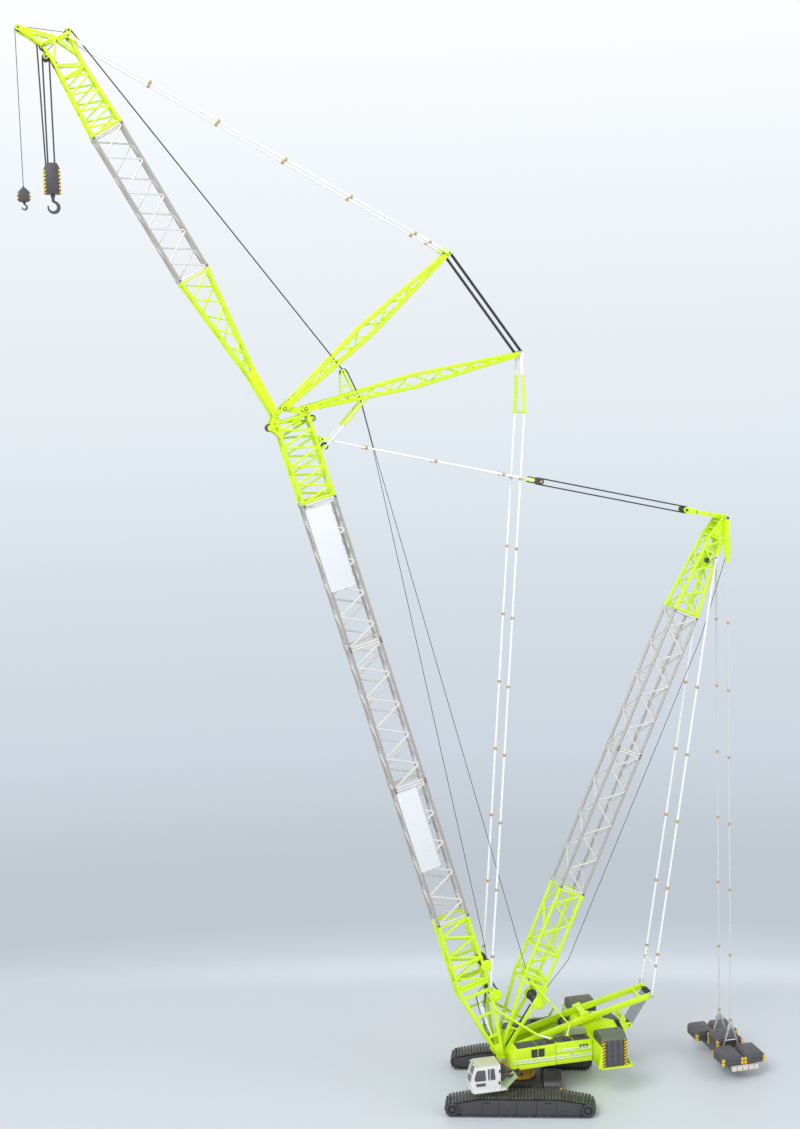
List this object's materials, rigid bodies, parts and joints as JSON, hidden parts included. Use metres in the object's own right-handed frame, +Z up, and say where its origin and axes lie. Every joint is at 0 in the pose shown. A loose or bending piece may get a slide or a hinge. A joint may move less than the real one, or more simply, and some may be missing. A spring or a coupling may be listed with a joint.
{
  "type": "toy crawler crane",
  "caption": "Lattice-boom crawler crane model with a luffing jib, derrick mast, A-frame, suspended ballast tray, hooks and turning superstructure.",
  "frame": {"origin": "on the floor under the centre of the model's bounding box; the slewing axis stands at x = -0.1443 m", "axes": "+X ahead of the superstructure, the way the boom leans; +Y to its left, the cab's side; +Z up"},
  "size_m": [0.988, 0.2426, 1.4747],
  "materials": {
    "lime_paint": "satin",
    "silver_lattice": "satin",
    "track_dark": "satin",
    "weight_grey": "matte",
    "gold_ring": "satin",
    "cab_silver": "gloss",
    "stay_white": "satin",
    "tray_steel": "satin",
    "dark_metal": "satin",
    "rope_black": "matte"
  },
  "bodies": {
    "undercarriage": {"car_body": "track_dark", "slew_ring": "gold_ring", "track_frame_left": "track_dark", "track_frame_right": "track_dark", "crawler_belt_left": "track_dark", "crawler_belt_right": "track_dark"},
    "sprocket_left": {"drive_sprocket_left": "track_dark"},
    "sprocket_right": {"drive_sprocket_right": "track_dark"},
    "idler_wheel_left": {"idler_left": "track_dark"},
    "idler_wheel_right": {"idler_right": "track_dark"},
    "superstructure": {"turntable_frame": "lime_paint", "foot_shaft": "tray_steel", "side_house_left": "lime_paint", "side_house_right": "lime_paint", "machinery_house": "lime_paint", "counterweight_carrier": "lime_paint", "counterweight_left": "weight_grey", "counterweight_right": "weight_grey", "a_frame_ropes": "rope_black"},
    "cab": {"cab_shell": "cab_silver"},
    "luffing_winch": {"luffing_winch_drum": "dark_metal"},
    "a_frame_arm": {"a_frame": "lime_paint"},
    "a_frame_sheave": {"a_frame_sheaves": "dark_metal"},
    "mast": {"mast_foot": "lime_paint", "mast_insert_lower": "silver_lattice", "mast_insert_upper": "silver_lattice", "mast_head": "lime_paint", "mast_stays": "stay_white"},
    "mast_winch": {"mast_winch_drum": "dark_metal"},
    "boom": {"boom_foot": "lime_paint", "boom_insert_1": "silver_lattice", "boom_insert_2": "silver_lattice", "boom_insert_3": "silver_lattice", "boom_head": "lime_paint", "rear_strut": "lime_paint", "rear_stays": "stay_white", "strut_reeving": "rope_black", "main_hoist_line": "rope_black", "aux_hoist_line": "rope_black"},
    "boom_drum_upper": {"boom_winch_upper": "dark_metal"},
    "boom_drum_lower": {"boom_winch_lower": "dark_metal"},
    "boom_sheave": {"boom_head_sheave": "dark_metal"},
    "boom_stay": {"boom_stays": "stay_white", "stay_reeving": "rope_black"},
    "stay_block_body": {"stay_block": "dark_metal"},
    "jib": {"jib_foot": "lime_paint", "jib_insert": "silver_lattice", "jib_head": "lime_paint"},
    "jib_sheaves": {"jib_head_sheaves": "dark_metal"},
    "front_strut_body": {"front_strut": "lime_paint"},
    "jib_stay": {"jib_stays": "stay_white"},
    "tray": {"tray_stays": "tray_steel", "ballast_tray": "weight_grey", "ballast_left": "weight_grey", "ballast_right": "weight_grey"},
    "main_fall": {"main_falls": "rope_black"},
    "hook_block_body": {"hook_block": "dark_metal"},
    "hook": {"main_hook": "dark_metal"},
    "aux_rope": {"aux_fall": "rope_black"},
    "aux_hook_body": {"aux_hook": "dark_metal"}
  },
  "joints": [
    {"name": "slew", "type": "hinge", "parent": "undercarriage", "child": "superstructure", "pos_m": [-0.14431, 0, 0], "axis": [0, 0, 1], "continuous": true},
    {"name": "sprocket_left_turn", "type": "hinge", "parent": "undercarriage", "child": "sprocket_left", "pos_m": [-0.20941, 0.10309, 0.0115], "axis": [0.3057, 0.9521, 0], "continuous": true},
    {"name": "idler_left_turn", "type": "hinge", "parent": "undercarriage", "child": "idler_wheel_left", "pos_m": [-0.03137, 0.04592, 0.0115], "axis": [0.3057, 0.9521, 0], "continuous": true},
    {"name": "sprocket_right_turn", "type": "hinge", "parent": "undercarriage", "child": "sprocket_right", "pos_m": [-0.25726, -0.04592, 0.0115], "axis": [0.3057, 0.9521, 0], "continuous": true},
    {"name": "idler_right_turn", "type": "hinge", "parent": "undercarriage", "child": "idler_wheel_right", "pos_m": [-0.07921, -0.10309, 0.0115], "axis": [0.3057, 0.9521, 0], "continuous": true},
    {"name": "cab_tilt", "type": "hinge", "parent": "superstructure", "child": "cab", "pos_m": [-0.10381, 0, 0.057], "axis": [0, -1, 0], "range_deg": [0, 20]},
    {"name": "luffing_winch_turn", "type": "hinge", "parent": "superstructure", "child": "luffing_winch", "pos_m": [-0.21431, 0, 0.087], "axis": [0, 1, 0], "continuous": true},
    {"name": "mast_luff", "type": "hinge", "parent": "superstructure", "child": "mast", "pos_m": [-0.11131, 0, 0.058], "axis": [0, 1, 0], "range_deg": [0, 8]},
    {"name": "a_frame_luff", "type": "hinge", "parent": "superstructure", "child": "a_frame_arm", "pos_m": [-0.11131, 0, 0.058], "axis": [0, 1, 0], "range_deg": [0, 8], "deforming": ["a_frame_ropes"]},
    {"name": "a_frame_sheave_turn", "type": "hinge", "parent": "a_frame_arm", "child": "a_frame_sheave", "pos_m": [-0.33782, 0, 0.12424], "axis": [0, 1, 0], "continuous": true},
    {"name": "mast_winch_turn", "type": "hinge", "parent": "mast", "child": "mast_winch", "pos_m": [-0.16779, 0, 0.13332], "axis": [0, 1, 0], "continuous": true},
    {"name": "boom_luff", "type": "hinge", "parent": "mast", "child": "boom", "pos_m": [-0.11131, 0, 0.058], "axis": [0, 1, 0], "range_deg": [0, 30]},
    {"name": "boom_drum_upper_turn", "type": "hinge", "parent": "boom", "child": "boom_drum_upper", "pos_m": [-0.09277, 0, 0.1967], "axis": [0, 1, 0], "continuous": true},
    {"name": "boom_drum_lower_turn", "type": "hinge", "parent": "boom", "child": "boom_drum_lower", "pos_m": [-0.10546, 0, 0.15197], "axis": [0, 1, 0], "continuous": true},
    {"name": "boom_sheave_turn", "type": "hinge", "parent": "boom", "child": "boom_sheave", "pos_m": [0.18361, 0, 0.96068], "axis": [0, 1, 0], "continuous": true},
    {"name": "boom_stay_turn", "type": "hinge", "parent": "boom", "child": "boom_stay", "pos_m": [0.1149, 0, 0.94379], "axis": [0, 1, 0], "range_deg": [-11, 0]},
    {"name": "stay_reeve", "type": "slide", "parent": "boom_stay", "child": "stay_block_body", "axis": [-0.9746, 0, -0.2238], "range_m": [0, 0.41], "deforming": ["stay_reeving"]},
    {"name": "jib_luff", "type": "hinge", "parent": "boom", "child": "jib", "pos_m": [0.17665, 0, 0.97939], "axis": [0, 1, 0], "range_deg": [0, 30]},
    {"name": "jib_sheave_turn", "type": "hinge", "parent": "jib", "child": "jib_sheaves", "pos_m": [0.44967, 0, 1.43511], "axis": [0, 1, 0], "continuous": true},
    {"name": "front_strut_luff", "type": "hinge", "parent": "boom", "child": "front_strut_body", "pos_m": [0.1645, 0, 0.98564], "axis": [0, 1, 0], "range_deg": [0, 31.2], "deforming": ["strut_reeving", "main_hoist_line", "aux_hoist_line"]},
    {"name": "jib_stay_turn", "type": "hinge", "parent": "front_strut_body", "child": "jib_stay", "pos_m": [-0.06614, 0, 1.18614], "axis": [0, 1, 0], "range_deg": [-1.4, 0]},
    {"name": "tray_swing", "type": "hinge", "parent": "mast", "child": "tray", "pos_m": [-0.46103, 0, 0.81151], "axis": [0, 1, 0], "range_deg": [-8, 15]},
    {"name": "main_swing", "type": "hinge", "parent": "jib", "child": "main_fall", "pos_m": [0.44967, 0, 1.43511], "axis": [0, 1, 0], "range_deg": [-68, 10]},
    {"name": "main_hoist", "type": "slide", "parent": "main_fall", "child": "hook_block_body", "axis": [0, 0, 1], "range_m": [-0.35, 0.07], "deforming": ["main_falls"]},
    {"name": "hook_turn", "type": "hinge", "parent": "hook_block_body", "child": "hook", "pos_m": [0.44967, 0, 1.26661], "axis": [0, 0, 1], "continuous": true},
    {"name": "aux_swing", "type": "hinge", "parent": "jib", "child": "aux_rope", "pos_m": [0.48178, 0, 1.47021], "axis": [0, 1, 0], "range_deg": [-68, 10]},
    {"name": "aux_hoist", "type": "slide", "parent": "aux_rope", "child": "aux_hook_body", "axis": [0, 0, 1], "range_m": [-0.35, 0.12], "deforming": ["aux_fall"]}
  ],
  "couplings": [
    {"joint": "idler_left_turn", "follows": "sprocket_left_turn", "ratio": 1},
    {"joint": "idler_right_turn", "follows": "sprocket_right_turn", "ratio": 1},
    {"joint": "a_frame_luff", "follows": "mast_luff", "ratio": 1},
    {"joint": "boom_stay_turn", "follows": "boom_luff", "ratio": -0.365},
    {"joint": "stay_reeve", "follows": "boom_luff", "m_per_rad": 0.778},
    {"joint": "front_strut_luff", "follows": "jib_luff", "ratio": 1.033},
    {"joint": "jib_stay_turn", "follows": "jib_luff", "ratio": -0.0445},
    {"joint": "aux_swing", "follows": "main_swing", "ratio": 1}
  ]
}
